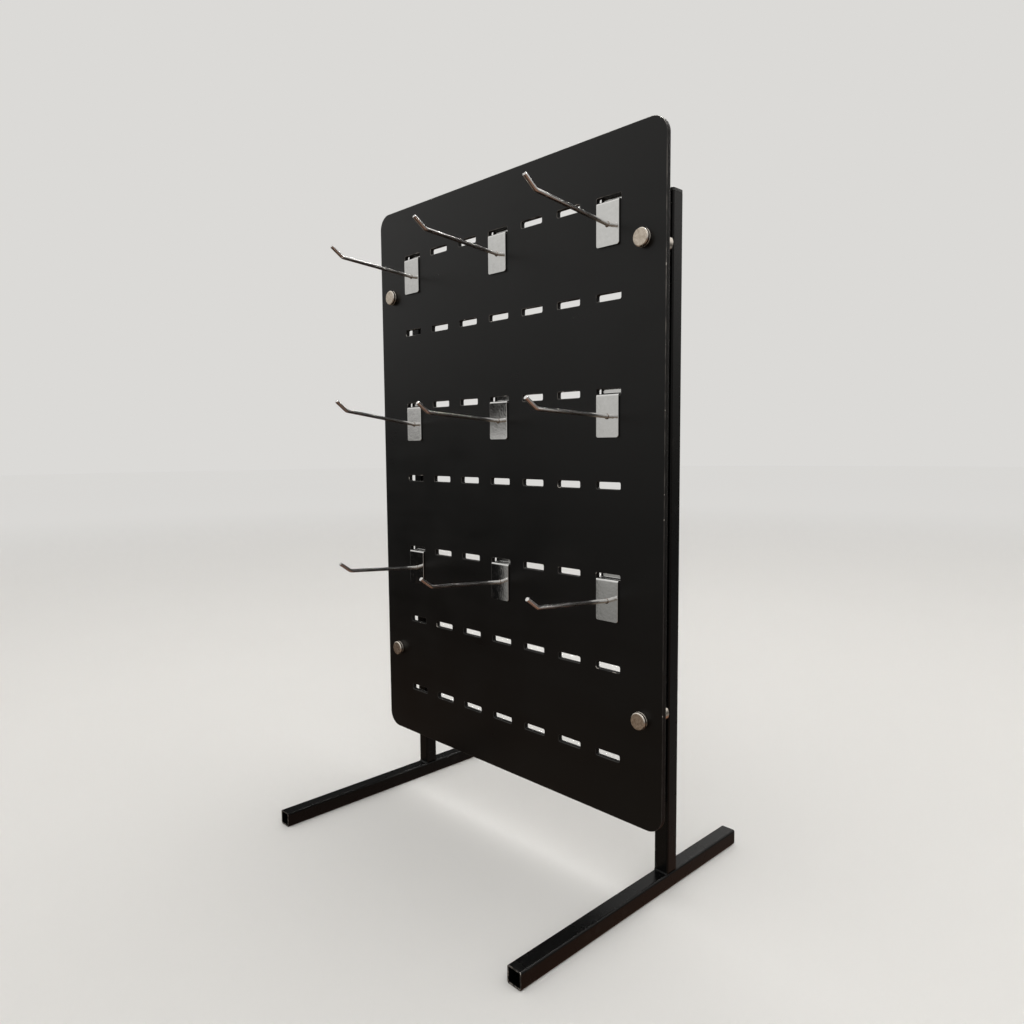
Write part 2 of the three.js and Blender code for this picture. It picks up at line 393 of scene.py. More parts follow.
def powder_coat_material():
    """Semi-gloss black powder coat on the posts and feet, with orange peel and light rubs."""
    s = Shader("black_powder_coat", (0.002, 0.002, 0.002), 0.28, specular=0.2)
    s.set("Roughness", s.remap(s.noise(22, 5), 0.3, 0.7, 0.22, 0.33))
    rub = s.remap(s.noise(1, 4, s.stretched((260, 60, 60))), 0.62, 0.72, 0, 1)
    s.set("Base Color", s.mix(rub, (0.0018, 0.0018, 0.0018), (0.006, 0.0055, 0.005)))
    peel = s.bump(s.noise(900, 1.5), 0.00003, 0.5)
    s.set("Normal", s.bump(s.noise(60, 2), 0.00015, 0.4, peel))
    return s.material


def cut_end_material():
    """The sawn end of a tube: black, with grey steel-like flecks painted on as the highlight along
    its rim. black paint worn through to grey steel in flecks.
    """
    s = Shader("tube_end_rim_highlight", (0.01, 0.01, 0.01), 0.4)
    # Painted highlight: these grey metallic flecks stand for light caught on the tube's rim.
    rim_highlight = s.math("MULTIPLY", s.remap(s.noise(420, 4), 0.50, 0.58, 0, 1),
                  s.remap(s.noise(110, 2), 0.38, 0.55, 0, 1))
    s.set("Base Color", s.mix(rim_highlight, (0.006, 0.006, 0.006), (0.26, 0.24, 0.22)))
    s.set("Metallic", s.remap(rim_highlight, 0, 1, 0, 0.8))
    s.set("Roughness", s.remap(s.noise(700, 3), 0.3, 0.7, 0.34, 0.5))
    s.set("Normal", s.bump(s.noise(1800, 2), 0.00004, 0.5))
    return s.material


def plug_material():
    """Black moulded plastic, a little duller than the tube it closes."""
    s = Shader("black_moulded_plastic", (0.010, 0.010, 0.010), 0.45, specular=0.45)
    s.set("Roughness", s.remap(s.noise(180, 3), 0.3, 0.7, 0.4, 0.52))
    s.set("Base Color", s.mix(s.noise(90, 3), (0.008, 0.008, 0.008), (0.014, 0.014, 0.013)))
    s.set("Normal", s.bump(s.noise(3200, 2), 0.000015, 0.6))
    return s.material


def turned_face_material():
    """Warm nickel faced on a lathe: rings of fine tool marks, read from the stored radius."""
    s = Shader("turned_warm_nickel", (0.62, 0.56, 0.49), 0.3, 1.0)
    rings = s.node("ShaderNodeTexNoise", noise_dimensions="1D")
    rings.inputs["Scale"].default_value = 5200
    rings.inputs["Detail"].default_value = 3
    s.link(s.stored("turn_radius"), rings.inputs["W"])
    ring = rings.outputs["Fac"]
    cloud = s.noise(420, 4)
    s.set("Roughness", s.math("ADD", s.remap(ring, 0.3, 0.7, 0.20, 0.34),
                              s.remap(cloud, 0.3, 0.7, 0, 0.1)))
    s.set("Base Color", s.mix(s.remap(cloud, 0.35, 0.65, 0, 1),
                              (0.53, 0.455, 0.375), (0.70, 0.62, 0.525)))
    s.set("Normal", s.bump(s.noise(1500, 3), 0.000025, 0.6, s.bump(ring, 0.00001, 0.8)))
    return s.material


def polished_nickel_material():
    """The rounded rim and round side of a standoff, polished almost to a mirror."""
    s = Shader("polished_warm_nickel", (0.64, 0.59, 0.53), 0.14, 1.0)
    lines = s.noise(1, 3, s.stretched((300, 5200, 300)))
    s.set("Roughness", s.remap(lines, 0.3, 0.7, 0.10, 0.22))
    s.set("Base Color", s.mix(s.noise(200, 3), (0.58, 0.53, 0.47), (0.70, 0.65, 0.59)))
    s.set("Normal", s.bump(lines, 0.000006, 0.6))
    return s.material


def plate_material():
    """Bright plated strip: a slightly wavy mirror with fine pits and faint drawn lines.  The shading
    of each plate leans a little, as stored, so neighbours mirror different parts of the room."""
    s = Shader("plated_strip", (0.70, 0.70, 0.69), 0.08, 1.0)
    drawn = s.noise(1, 4, s.stretched((2200, 400, 90)))
    cloud = s.noise(260, 5)
    s.set("Roughness", s.math("ADD", s.remap(cloud, 0.35, 0.65, 0.04, 0.11),
                              s.remap(drawn, 0.4, 0.7, 0, 0.04)))
    pit = s.speckle(900, 0.05)
    tone = s.mix(cloud, (0.62, 0.62, 0.61), (0.74, 0.74, 0.73))
    s.set("Base Color", s.mix(pit, tone, (0.35, 0.34, 0.33)))
    across = s.stored("across")
    crown = s.math("MULTIPLY", s.stored("crown"), s.math("MULTIPLY", across, across))
    slope = s.math("MULTIPLY", s.stored("lean"), s.stored("rise"))
    lean = s.bump(s.math("SUBTRACT", slope, crown), 1.0)
    ripple = s.bump(s.noise(420, 4), 0.00009, 0.7, lean)
    s.set("Normal", s.bump(drawn, 0.00001, 0.5, s.bump(s.noise(110, 2), 0.00018, 0.6, ripple)))
    return s.material


def wire_material():
    """Bright plated wire: fine draw marks run its whole length, mirror-like and dull by turns."""
    s = Shader("plated_wire", (0.70, 0.69, 0.68), 0.2, 1.0)
    marks = s.noise(1, 3, s.stored("wire_skin", "Vector"))
    blotch = s.noise(160, 4)
    s.set("Roughness", s.math("ADD", s.remap(marks, 0.44, 0.54, 0.07, 0.38),
                              s.remap(blotch, 0.35, 0.65, -0.02, 0.03)))
    s.set("Base Color", s.mix(blotch, (0.62, 0.61, 0.60), (0.76, 0.755, 0.75)))
    s.set("Normal", s.bump(marks, 0.000004, 0.4))
    return s.material


def weld_material():
    """The spot weld at the wire's root: heat-tinted and dull under the plating."""
    s = Shader("weld_bead", (0.30, 0.27, 0.24), 0.35, 1.0)
    tint = s.remap(s.noise(600, 3), 0.35, 0.65, 0, 1)
    s.set("Base Color", s.mix(tint, (0.14, 0.11, 0.10), (0.48, 0.44, 0.40)))
    s.set("Roughness", s.remap(s.noise(900, 3), 0.3, 0.7, 0.2, 0.4))
    s.set("Normal", s.bump(s.noise(1500, 2), 0.00005, 0.6))
    return s.material


PANEL_FACE = panel_face_material()
PANEL_SIDE = panel_side_material()
PANEL_ARRIS = panel_arris_material()
POWDER_COAT = powder_coat_material()
CUT_END = cut_end_material()
PLUG = plug_material()
TURNED = turned_face_material()
POLISHED = polished_nickel_material()
PLATE = plate_material()
WIRE = wire_material()
WELD = weld_material()


# ---------------------------------------------------------------- panel
def make_panel():
    """The slotted sheet, with the edges of its outline and of every slot slightly eased."""
    bm = bmesh.new()
    ease_steps = 3

    def outline(grow):
        return rounded_rect(0, PANEL_CENTRE_Z, PANEL_WIDTH + 2 * grow, PANEL_HEIGHT + 2 * grow,
                            PANEL_CORNER + grow, 2 * CORNER_STEPS)

    def slot_outline(row, column):
        return lambda grow: rounded_rect(
            slot_x(column), slot_z(row), SLOT_LENGTH - 2 * grow, SLOT_HEIGHT - 2 * grow,
            SLOT_CORNER - grow, SLOT_CORNER_STEPS)

    def stud_outline(x, z):
        return lambda grow: circle(x, z, STUD_HOLE_RADIUS - grow, 4 * CORNER_STEPS)

    loops = [outline]
    loops += [slot_outline(row, column)
              for row in range(1, SLOT_ROWS + 1) for column in range(1, SLOT_COLUMNS + 1)]
    for level in ("upper", "lower"):
        for side in ("left", "right"):
            low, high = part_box(f"standoff_cap_{level}_{side}")
            loops.append(stud_outline((low.x + high.x) / 2, (low.z + high.z) / 2))

    # (inset from the full outline, depth from the front face) from the front to the back
    section = []
    for i in range(ease_steps + 1):
        t = QUARTER * i / ease_steps
        section.append((PANEL_EDGE_EASE * (1 - math.sin(t)), PANEL_EDGE_EASE * (1 - math.cos(t))))
    section += [(inset, PANEL_THICKNESS - depth) for inset, depth in reversed(section)]

    front_edges, back_edges = [], []
    for loop in loops:
        rings = []
        for inset, depth in section:
            ring = [(x, PANEL_FRONT + depth, z) for x, z in loop(-inset)]
            rings.append(add_ring(bm, ring))
        for i, (ring_a, ring_b) in enumerate(zip(rings, rings[1:])):
            bridge(bm, ring_a, ring_b, 2 if i == ease_steps else 1)
        for ring, edges in ((rings[0], front_edges), (rings[-1], back_edges)):
            for i, vert in enumerate(ring):
                edge = bm.edges.get((vert, ring[(i + 1) % len(ring)]))
                edge.smooth = False
                edges.append(edge)
    for edges in (front_edges, back_edges):
        bmesh.ops.triangle_fill(bm, edges=edges, use_beauty=True, use_dissolve=False)
    finish_piece("slotted_panel", bm, "stand", "panel",
                 [PANEL_FACE, PANEL_ARRIS, PANEL_SIDE], weighted=False)


# ---------------------------------------------------------------- square tubes
def tube_rings(length):
    """Outside then inside of a square tube along +Z, with its cut ends slightly rounded."""
    ease = TUBE_END_EASE
    part = 0.3 * ease
    bore = TUBE_SIZE - 2 * TUBE_WALL

    def outside(inset, z):
        size = TUBE_SIZE - 2 * inset
        return [(x, y, z) for x, y in rounded_rect(0, 0, size, size, TUBE_CORNER - inset)]

    def inside(outset, z):
        size = bore + 2 * outset
        return [(x, y, z) for x, y in rounded_rect(0, 0, size, size, BORE_CORNER + outset)]

    return [
        outside(ease, 0), outside(part, part), outside(0, ease),
        outside(0, length - ease), outside(part, length - part), outside(ease, length),
        inside(ease, length), inside(0, length - ease), inside(0, ease), inside(ease, 0),
    ]


def add_tube(bm, length, place):
    """A tube whose cut ends, counted by the rings they follow, have the second material."""
    rings = [add_ring(bm, [place @ Vector(p) for p in ring]) for ring in tube_rings(length)]
    rim = (0, 1, 4, 5, 6, 8, 9)
    for i, (ring_a, ring_b) in enumerate(zip(rings, rings[1:] + rings[:1])):
        bridge(bm, ring_a, ring_b, 1 if i in rim else 0)


def add_weld_fillet(bm, centre_x, centre_y, base_z, seed):
    """A small painted bead round the foot of a post, a little uneven."""
    rng = random.Random(seed)
    lumps = [rng.uniform(0.8, 1.2) for _ in range(4 * (CORNER_STEPS + 1))]

    def ring(out, up):
        base = rounded_rect(centre_x, centre_y, TUBE_SIZE, TUBE_SIZE, TUBE_CORNER)
        points = []
        for (x, y), lump in zip(base, lumps):
            # The foot is no wider than the post, so the bead only spreads along the foot.
            dy = y - centre_y
            share = (abs(dy) - TUBE_SIZE / 2 + TUBE_CORNER) / TUBE_CORNER
            spread = out * lump * max(0.0, min(1.0, share))
            points.append((x, y + math.copysign(spread, dy), base_z + up * (0.7 + 0.3 * lump)))
        return points

    # (share of the width, share of the height), up over the bead and back down inside the post
    profile = ((1.0, 0.0), (0.62, 0.28), (0.28, 0.62), (0.05, 1.0), (-0.1, 1.0), (-0.1, 0.0))
    rings = [add_ring(bm, ring(WELD_WIDTH * out, WELD_HEIGHT * up)) for out, up in profile]
    bridge_round(bm, rings)


def make_foot(side):
    low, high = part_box(f"{side}_foot")
    bm = bmesh.new()
    along_y = Matrix.Rotation(-QUARTER, 4, "X")
    place = Matrix.Translation(((low.x + high.x) / 2, low.y, (low.z + high.z) / 2)) @ along_y
    add_tube(bm, high.y - low.y, place)
    finish_piece(f"{side}_tube_foot", bm, "stand", f"{side}_foot",
                 [POWDER_COAT, CUT_END])


def make_post(side):
    low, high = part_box(f"{side}_post")
    foot_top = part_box(f"{side}_foot")[1].z
    centre = ((low.x + high.x) / 2, (low.y + high.y) / 2)
    bm = bmesh.new()
    add_tube(bm, high.z - foot_top, Matrix.Translation((*centre, foot_top)))
    add_weld_fillet(bm, *centre, foot_top, seed=len(side))
    # The post's ends are coated like the rest, so both of its materials are the same.
    finish_piece(f"{side}_tube_post", bm, "stand", f"{side}_post",
                 [POWDER_COAT, POWDER_COAT])


def make_plug(side):
    """Plug with a slightly crowned flange and a stem inside the tube."""
    low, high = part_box(f"{side}_post_plug")
    tube_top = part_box(f"{side}_post")[1].z
    cx, cy = (low.x + high.x) / 2, (low.y + high.y) / 2
    stem = TUBE_SIZE - 2 * TUBE_WALL - 2 * TOUCH_GAP
    flange = TUBE_SIZE - 2 * SEAT_GAP
    seat = tube_top + SEAT_GAP

    def ring(size, corner, z):
        return [(x, y, z) for x, y in rounded_rect(cx, cy, size, size, corner)]

    rings = [
        ring(stem - 1 * MM, 0.6 * MM, low.z),
        ring(stem, 0.8 * MM, low.z + 1 * MM),
        ring(stem, 0.8 * MM, seat),
        ring(flange - 0.6 * MM, 1.7 * MM, seat),
        ring(flange, 2 * MM, seat + 0.25 * MM),
    ]
    # (how much narrower, corner, share of the crown left to rise)
    crown = ((0, 2, 1), (0.35, 1.85, 0.45), (1.1, 1.6, 0.16), (2.6, 1.2, 0.03), (6, 0.8, 0))
    rings += [ring(flange - narrower * MM, corner * MM, high.z - PLUG_CROWN * share)
              for narrower, corner, share in crown]
    bm = bmesh.new()
    loft(bm, rings)
    finish_piece(f"{side}_plug", bm, "stand", f"{side}_post_plug", [PLUG],
                 sharp_deg=50)


# ---------------------------------------------------------------- standoffs
def make_standoff_cap(level, side):
    """Screw cap: a turned face inside a polished chamfer, a polished side with one fine groove,
    and a stud through the panel."""
    node = f"standoff_cap_{level}_{side}"
    low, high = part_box(node)
    bm = bmesh.new()
    place = ((low.x + high.x) / 2, PANEL_FRONT, (low.z + high.z) / 2)
    front = low.y - PANEL_FRONT
    back = high.y - PANEL_FRONT
    face = STANDOFF_RADIUS - CAP_CHAMFER
    side_radius = STANDOFF_RADIUS
    groove = STANDOFF_RADIUS - CAP_GROOVE_DEPTH
    # (radius, distance from the panel's front face): the face, its chamfer, the side with the
    # groove, the seat against the panel and the stud
    profile = [
        (0, front), (face * 0.5, front), (face - 0.1 * MM, front),
        (face + 0.12 * MM, front + 0.07 * MM), (side_radius - 0.28 * MM, front + 0.55 * MM),
        (side_radius - 0.08 * MM, front + 0.78 * MM), (side_radius, front + 1.1 * MM),
        (side_radius, front + 2.6 * MM), (groove, front + 2.8 * MM),
        (groove, front + 3.1 * MM), (side_radius, front + 3.3 * MM),
        (side_radius, -SEAT_GAP - TOUCH_GAP), (side_radius - TOUCH_GAP, -SEAT_GAP),
        (STUD_RADIUS, -SEAT_GAP), (STUD_RADIUS, back - STUD_CHAMFER),
        (STUD_RADIUS - STUD_CHAMFER, back), (0, back),
    ]
    turned_spans = 3
    revolve(bm, profile, place, lambda i: 0 if i < turned_spans else 1)
    store(bm, "turn_radius", lambda co: math.hypot(co.x - place[0], co.z - place[2]))
    finish_piece(f"{node}_turned", bm, "stand", node, [TURNED, POLISHED],
                 sharp_deg=30)


def make_standoff_barrel(level, side):
    """Spacer from the panel to the post, bored for the stud, with a spigot into the post."""
    node = f"standoff_barrel_{level}_{side}"
    low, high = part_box(node)
    post_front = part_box(f"{side}_post")[0].y
    bm = bmesh.new()
    place = ((low.x + high.x) / 2, low.y, (low.z + high.z) / 2)
    length = post_front - low.y - SEAT_GAP
    ease = BARREL_EASE
    part = 0.3 * ease
    bore = STUD_RADIUS + TOUCH_GAP
    # (radius, distance from the panel's back face): the bore, the round side and the spigot
    profile = [
        (0, BARREL_BORE_DEPTH), (bore, BARREL_BORE_DEPTH), (bore, TOUCH_GAP), (bore + TOUCH_GAP, 0),
        (STANDOFF_RADIUS - ease, 0), (STANDOFF_RADIUS - part, part), (STANDOFF_RADIUS, ease),
        (STANDOFF_RADIUS, length - ease), (STANDOFF_RADIUS - part, length - part),
        (STANDOFF_RADIUS - ease, length), (SPIGOT_RADIUS, length),
        (SPIGOT_RADIUS, high.y - low.y), (0, high.y - low.y),
    ]
    revolve(bm, profile, place)
    finish_piece(f"{node}_turned", bm, "stand", node, [POLISHED], sharp_deg=30)


# ---------------------------------------------------------------- hooks
def strip_half_width(from_end):
    """Half the strip's width at this distance from an end, where its corners are rounded."""
    if from_end >= PLATE_CORNER:
        return PLATE_WIDTH / 2
    square = PLATE_CORNER ** 2 - (PLATE_CORNER - from_end) ** 2
    return PLATE_WIDTH / 2 - PLATE_CORNER + math.sqrt(max(0.0, square))


def strip_path():
    """(y, z, direction, half width) along the middle of the plate's thickness, from the foot of the
    leaf, over the slot's lower edge and up behind the panel.  y = 0 is the panel's front face and
    z = 0 the slot's centre line; direction is the angle of travel, 90 degrees being straight up."""
    half = PLATE_THICKNESS / 2
    leaf_y = -TOUCH_GAP - half
    web_z = -SLOT_HEIGHT / 2 + TOUCH_GAP + half
    lip_y = PANEL_THICKNESS + TOUCH_GAP + half
    edge_radius = PLATE_BEND + half
    lip_radius = LIP_BEND + half
    stations = []

    corner_steps = [PLATE_CORNER * (1 - math.cos(QUARTER * i / BEND_STEPS))
                    for i in range(BEND_STEPS + 1)]
    for rise in corner_steps:
        stations.append((leaf_y, -PLATE_DROP + rise, QUARTER, strip_half_width(rise)))
    bend_start = web_z - edge_radius
    straight_start = -PLATE_DROP + PLATE_CORNER
    for i in range(1, BEND_STEPS):
        z = straight_start + (bend_start - straight_start) * i / BEND_STEPS
        stations.append((leaf_y, z, QUARTER, PLATE_WIDTH / 2))
    for i in range(BEND_STEPS + 1):
        t = QUARTER * i / BEND_STEPS
        y = leaf_y + edge_radius * (1 - math.cos(t))
        stations.append((y, bend_start + edge_radius * math.sin(t), QUARTER - t, PLATE_WIDTH / 2))
    for i in range(BEND_STEPS + 1):
        t = QUARTER * i / BEND_STEPS
        y = lip_y - lip_radius * (1 - math.sin(t))
        stations.append((y, web_z + lip_radius * (1 - math.cos(t)), t, PLATE_WIDTH / 2))
    for drop in reversed(corner_steps):
        stations.append((lip_y, LIP_RISE - drop, QUARTER, strip_half_width(drop)))
    return stations


def strip_section(half_width):
    """(across, through) points of the strip's rounded section."""
    corner = min(PLATE_EDGE_EASE, half_width * 0.5)
    return rounded_rect(0, 0, 2 * half_width, PLATE_THICKNESS, corner, CORNER_STEPS // 2)


def make_hook_plate(row, column, lean_deg):
    """A bent strip, with what its material needs to lean its shading by lean_deg."""
    node = f"hook_plate_r{row}c{column}"
    middle, bow, turn = (math.tan(math.radians(lean)) for lean in lean_deg)
    middle_z = slot_z(row) - PLATE_DROP / 2
    bm = bmesh.new()
    rings = []
    for y, z, direction, half_width in strip_path():
        through = Vector((0, -math.sin(direction), math.cos(direction)))
        centre = Vector((slot_x(column), PANEL_FRONT + y, slot_z(row) + z))
        rings.append([centre + Vector((a, 0, 0)) + through * t for a, t in strip_section(half_width)])
    loft(bm, rings)
    store(bm, "lean", lambda co: bow * (co.z - middle_z) / PLATE_DROP / 2 - middle)
    store(bm, "rise", lambda co: co.z - middle_z)
    store(bm, "across", lambda co: co.x - slot_x(column))
    store(bm, "crown", lambda co: turn / PLATE_WIDTH)
    finish_piece(f"{node}_strip", bm, f"hook_r{row}c{column}", node, [PLATE],
                 sharp_deg=50)


def arm_stations(rise_deg):
    """(y, z, rise) along the wire's centre line: a straight arm, then the upturned tip."""
    rise = math.radians(rise_deg)
    tip = math.radians(rise_deg + TIP_BEND_DEG)
    start_y = -2 * TOUCH_GAP - PLATE_THICKNESS
    bend_y = start_y - ARM_REACH
    # The root is sunk a little into the plate, under the weld.
    sunk = TOUCH_GAP + 0.2 * MM
    stations = [(start_y + sunk, -ARM_ROOT_DROP, 0.0),
                (start_y - 1 * MM, -ARM_ROOT_DROP, rise * 0.4)]
    for reach_mm in (3, 8, 20, 40, 60, 75):
        highlight_reach = reach_mm * MM
        stations.append((start_y - highlight_reach, -ARM_ROOT_DROP + highlight_reach * math.tan(rise), rise))
    bend_z = -ARM_ROOT_DROP + ARM_REACH * math.tan(rise)
    tangent = TIP_BEND_RADIUS * math.tan((tip - rise) / 2)
    arc_y = bend_y + tangent * math.cos(rise)
    arc_z = bend_z - tangent * math.sin(rise)
    centre_y = arc_y + TIP_BEND_RADIUS * math.sin(rise)
    centre_z = arc_z + TIP_BEND_RADIUS * math.cos(rise)
    for i in range(TIP_BEND_STEPS + 1):
        angle = rise + (tip - rise) * i / TIP_BEND_STEPS
        stations.append((centre_y - math.sin(angle) * TIP_BEND_RADIUS,
                         centre_z - math.cos(angle) * TIP_BEND_RADIUS, angle))
    for share in (0.7, 1.0):
        length = TIP_LENGTH * share
        stations.append((bend_y - length * math.cos(tip), bend_z + length * math.sin(tip), tip))
    return stations


def make_hook_arm(row, column, rise_deg):
    """The wire that rises by rise_deg from its plate, with the weld at its root."""
    node = f"hook_arm_r{row}c{column}"
    bm = bmesh.new()

    def ring(y, z, rise, radius):
        upward = Vector((0, math.sin(rise), math.cos(rise)))
        centre = Vector((slot_x(column), PANEL_FRONT + y, slot_z(row) + z))
        turns = (2 * math.pi * i / WIRE_SIDES for i in range(WIRE_SIDES))
        return [centre + Vector((1, 0, 0)) * radius * math.cos(t) + upward * radius * math.sin(t)
                for t in turns]

    stations = arm_stations(rise_deg)
    rings = [ring(*station, WIRE_RADIUS) for station in stations]
    # The cut end of the tip, its edge slightly rounded.
    y, z, rise = stations[-1]
    part = 0.3 * TIP_EASE
    rings.pop()
    for back, narrower in ((TIP_EASE, 0), (part, part), (0, TIP_EASE)):
        rings.append(ring(y + back * math.cos(rise), z - back * math.sin(rise), rise,
                          WIRE_RADIUS - narrower))
    skin = bm.verts.layers.float_vector.new("wire_skin")
    store_wire_skin(skin, loft(bm, rings))
    add_weld_bead(bm, row, column)
    finish_piece(f"{node}_wire", bm, f"hook_r{row}c{column}", node, [WIRE, WELD],
                 sharp_deg=45)


def add_weld_bead(bm, row, column):
    """A low uneven collar where the wire meets the plate, heavier underneath."""
    rng = random.Random(10 * row + column)
    plate_front = PANEL_FRONT - TOUCH_GAP - PLATE_THICKNESS
    lumps = [rng.uniform(0.85, 1.15) for _ in range(WIRE_SIDES)]
    # (height above the wire, distance from the plate), over the collar and back inside the wire
    profile_mm = ((0.4, 0.0), (0.7, 0.0), (0.6, 0.25), (0.3, 0.55), (-0.1, 0.8), (-0.3, 0.3))
    rings = []
    for height_mm, out_mm in profile_mm:
        points = []
        for i, lump in enumerate(lumps):
            t = 2 * math.pi * i / WIRE_SIDES
            under = 1.0 - 0.35 * math.sin(t)
            swell = lump * under if height_mm > 0 else 1.0
            highlight_reach = WIRE_RADIUS + height_mm * MM * swell
            points.append((slot_x(column) + highlight_reach * math.cos(t), plate_front - out_mm * MM,
                           slot_z(row) - ARM_ROOT_DROP + highlight_reach * math.sin(t)))
        rings.append(add_ring(bm, points))
    bridge_round(bm, rings, 1)


# ---------------------------------------------------------------- assembly
make_panel()
for side in ("left", "right"):
    make_foot(side)
    make_post(side)
    make_plug(side)
    for level in ("upper", "lower"):
        make_standoff_cap(level, side)
        make_standoff_barrel(level, side)
for row, rises, leans in zip(HOOK_ROWS, ARM_RISE_DEG, PLATE_LEAN_DEG):
    for column, rise_deg, lean_deg in zip(HOOK_COLUMNS, rises, leans):
        make_hook_plate(row, column, lean_deg)
        make_hook_arm(row, column, rise_deg)


# ---------------------------------------------------------------- studio
BACKDROP = (0.71, 0.70, 0.68)
FLOOR_RADIUS = 14.0
FADE_START, FADE_END = 0.9, 4.5
ROOM_RADIUS = 8.0
LAMP_DIRECTION = Vector((0.05, 0.20, 0.9785))
LAMP_GLOW = (70.0, 68.0, 65.0)

CAMERA_PLACE = (0.5758, -0.5357, 0.4070)
CAMERA_AZIMUTH_DEG = 45.99
CAMERA_ELEVATION_DEG = 4.91
CAMERA_ROLL_DEG = -0.49
CAMERA_LENS_MM = 27.3
CAMERA_SENSOR_MM = 36


def add_stage_mesh(name, bm, material):
    mesh = bpy.data.meshes.new(name)
    bm.to_mesh(mesh)
    bm.free()
    mesh.materials.append(material)
    thing = bpy.data.objects.new(name, mesh)
    bpy.context.scene.collection.objects.link(thing)
    return thing


def floor_material():
    """Plain pale floor that fades into the backdrop's tone far from the object."""
    s = Shader("pale_floor", (0.70, 0.69, 0.67), 0.8, specular=0.1)
    s.set("Base Color", s.mix(s.noise(3, 3), (0.69, 0.68, 0.66), (0.71, 0.70, 0.68)))
    distance = s.node("ShaderNodeVectorMath", operation="LENGTH")
    s.link(s.coords, distance.inputs[0])
    fade = s.remap(distance.outputs["Value"], FADE_START, FADE_END, 0, 1)
    # A smooth minimum rounds off the end of the fade, so that it leaves no ring on the floor.
    fade = s.math("SMOOTH_MIN", fade, 1.0)
    backdrop = s.node("ShaderNodeEmission")
    backdrop.inputs["Color"].default_value = (*BACKDROP, 1)
    blend = s.node("ShaderNodeMixShader")
    s.link(fade, blend.inputs["Fac"])
    s.link(s.bsdf.outputs["BSDF"], blend.inputs[1])
    s.link(backdrop.outputs["Emission"], blend.inputs[2])
    s.link(blend.outputs["Shader"], s.tree.nodes["Material Output"].inputs["Surface"])
    return s.material


def make_floor():
    """A wide disc that reflections don't see."""
    bm = bmesh.new()
    bm.faces.new([bm.verts.new((x, y, 0)) for x, y in circle(0, 0, FLOOR_RADIUS, 96)])
    floor = add_stage_mesh("floor", bm, floor_material())
    floor.visible_glossy = False


def colour_ramp(shader, value, stops):
    ramp = shader.node("ShaderNodeValToRGB")
    elements = ramp.color_ramp.elements
    while len(elements) < len(stops):
        elements.new(0.5)
    for element, (position, colour) in zip(elements, stops):
        element.position = position
        element.color = (*colour, 1)
    shader.link(value, ramp.inputs["Fac"])
    return ramp.outputs["Color"]


def room_material():
    """What shiny surfaces reflect: pale walls over warm ground, a dim opening in the front left
    wall, a dim corner behind to the left, and a bright ceiling with a lamp.  Each wall is a ramp
    from straight down, 0, to straight up, 1, with the horizon at 0.5."""
    s = Shader("reflected_room", (0, 0, 0), 1)
    split = s.node("ShaderNodeSeparateXYZ")
    s.link(s.coords, split.inputs[0])
    height = s.remap(split.outputs["Z"], -ROOM_RADIUS, ROOM_RADIUS, 0, 1)
    azimuth = s.math("ARCTAN2", split.outputs["Y"], split.outputs["X"])

    underside, ground, warm_ground = (0.035, 0.025, 0.02), (0.24, 0.23, 0.215), (0.27, 0.215, 0.165)
    table, bright_table, copper = (0.14, 0.088, 0.062), (0.23, 0.175, 0.135), (0.30, 0.155, 0.10)
    shade, upper_wall, ceiling = (0.008, 0.0078, 0.0075), (0.74, 0.73, 0.71), (1.2, 1.18, 1.15)
    opening = colour_ramp(s, height, (
        (0.13, underside), (0.20, warm_ground), (0.265, warm_ground), (0.31, table),
        (0.375, table), (0.40, shade), (0.495, shade), (0.515, (0.08, 0.077, 0.073)),
        (0.55, (0.24, 0.235, 0.225)), (0.59, (0.54, 0.53, 0.515)), (0.68, upper_wall),
        (1.0, ceiling)))
    front_wall = colour_ramp(s, height, (
        (0.13, underside), (0.20, warm_ground), (0.265, warm_ground), (0.31, bright_table),
        (0.375, bright_table), (0.40, (0.20, 0.195, 0.185)), (0.48, (0.36, 0.355, 0.34)),
        (0.53, (0.60, 0.59, 0.57)), (0.68, upper_wall), (1.0, ceiling)))
    right_wall = colour_ramp(s, height, (
        (0.05, copper), (0.38, copper), (0.46, table), (0.48, (0.20, 0.165, 0.14)),
        (0.60, (0.27, 0.25, 0.23)), (0.68, (0.50, 0.48, 0.45)), (1.0, ceiling)))
    rear_wall = colour_ramp(s, height, (
        (0.05, copper), (0.25, copper), (0.31, ground), (0.37, ground),
        (0.44, (0.10, 0.095, 0.09)), (0.49, (0.14, 0.135, 0.125)), (0.57, (0.36, 0.35, 0.33)),
        (0.67, (0.90, 0.88, 0.85)), (1.0, (1.3, 1.28, 1.25))))
    rear_corner = colour_ramp(s, height, (
        (0.13, underside), (0.38, table), (0.455, table), (0.50, (0.085, 0.083, 0.08)),
        (0.86, (0.10, 0.098, 0.095)), (1.0, ceiling)))

    # Round from the opening by the right: the azimuths between which each wall gives way to the
    # next, and last the left-hand wall, reached from the opening's other side.
    walls = opening
    for from_deg, to_deg, wall in (
            (-136.5, -130.5, front_wall), (-40, 0, right_wall), (18, 36, rear_wall),
            (116, 136, rear_corner), (166, 178, front_wall), (-150, -164, front_wall)):
        passed = s.remap(azimuth, math.radians(from_deg), math.radians(to_deg), 0, 1)
        walls = s.mix(passed, walls, wall)

    aim = s.node("ShaderNodeVectorMath", operation="DOT_PRODUCT")
    aim.inputs[1].default_value = LAMP_DIRECTION / ROOM_RADIUS
    s.link(s.coords, aim.inputs[0])
    lamp = s.remap(aim.outputs["Value"], 0.978, 0.985, 0, 1)
    glow = s.node("ShaderNodeEmission")
    s.link(s.mix(lamp, walls, LAMP_GLOW), glow.inputs["Color"])
    s.link(glow.outputs["Emission"], s.tree.nodes["Material Output"].inputs["Surface"])
    return s.material


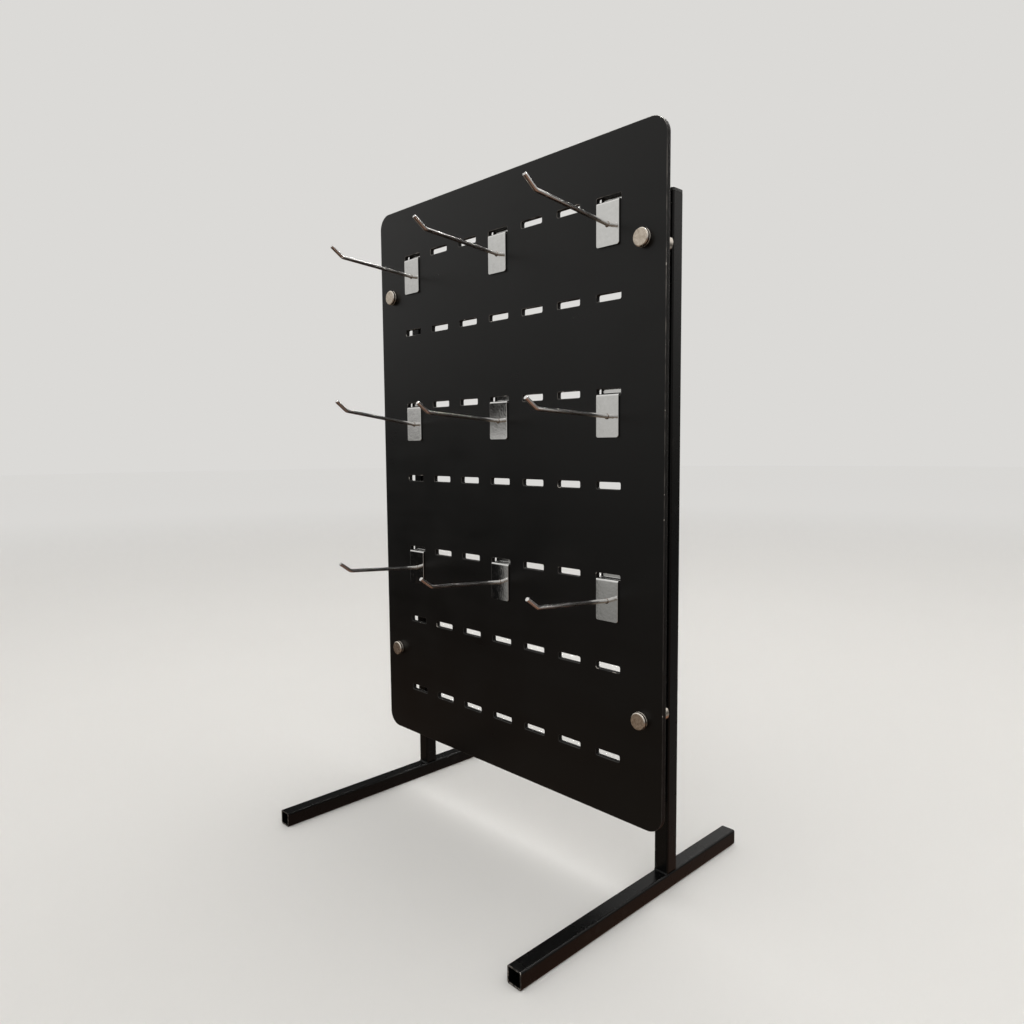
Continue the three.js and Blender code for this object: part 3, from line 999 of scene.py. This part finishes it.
def make_reflected_room():
    """A globe that only reflections see, so the backdrop stays plain.  It is built ring by ring,
    because Blender's own sphere orders its vertices differently from run to run."""
    bm = bmesh.new()
    levels, segments = 32, 48
    rings = []
    for level in range(1, levels):
        polar = math.pi * level / levels
        ring = circle(0, 0, ROOM_RADIUS * math.sin(polar), segments)
        rings.append(add_ring(bm, [(x, y, ROOM_RADIUS * math.cos(polar)) for x, y in ring]))
    for ring_a, ring_b in zip(rings, rings[1:]):
        bridge(bm, ring_a, ring_b)
    for ring, height in ((rings[0], ROOM_RADIUS), (rings[-1], -ROOM_RADIUS)):
        pole = bm.verts.new((0, 0, height))
        for i, vert in enumerate(ring):
            bm.faces.new((pole, vert, ring[(i + 1) % segments]))
    bmesh.ops.recalc_face_normals(bm, faces=bm.faces)
    room = add_stage_mesh("reflected_room", bm, room_material())
    room.visible_camera = False
    room.visible_diffuse = False
    room.visible_transmission = False
    room.visible_shadow = False


def add_area_light(name, place, target, size, power):
    """A square softbox that lights surfaces but isn't seen in reflections."""
    data = bpy.data.lights.new(name, "AREA")
    data.shape = "RECTANGLE"
    data.size = data.size_y = size
    data.energy = power
    light = bpy.data.objects.new(name, data)
    bpy.context.scene.collection.objects.link(light)
    light.location = place
    light.rotation_mode = "QUATERNION"
    light.rotation_quaternion = (Vector(target) - Vector(place)).to_track_quat("-Z", "Y")
    light.visible_glossy = False


def make_world():
    """An even backdrop in the floor's far tone."""
    world = bpy.data.worlds.new("studio")
    bpy.context.scene.world = world
    world.use_nodes = True
    background = world.node_tree.nodes["Background"]
    background.inputs["Color"].default_value = (*BACKDROP, 1)


def make_camera():
    """The photo's camera, from a fit to the panel, the posts and the feet."""
    data = bpy.data.cameras.new("camera")
    data.sensor_width = CAMERA_SENSOR_MM
    data.lens = CAMERA_LENS_MM
    camera = bpy.data.objects.new("camera", data)
    bpy.context.scene.collection.objects.link(camera)
    turn = (Matrix.Rotation(math.radians(CAMERA_AZIMUTH_DEG), 4, "Z")
            @ Matrix.Rotation(QUARTER - math.radians(CAMERA_ELEVATION_DEG), 4, "X")
            @ Matrix.Rotation(math.radians(CAMERA_ROLL_DEG), 4, "Z"))
    camera.matrix_world = Matrix.Translation(CAMERA_PLACE) @ turn
    bpy.context.scene.camera = camera


make_floor()
make_reflected_room()
make_world()
add_area_light("overhead", (0.1, 0.1, 2.4), (0, 0, 0.3), size=2.6, power=26)
add_area_light("front_right", (1.9, -1.6, 1.6), (0, 0, 0.35), size=1.8, power=9)
make_camera()
bpy.context.scene.view_settings.view_transform = "Standard"
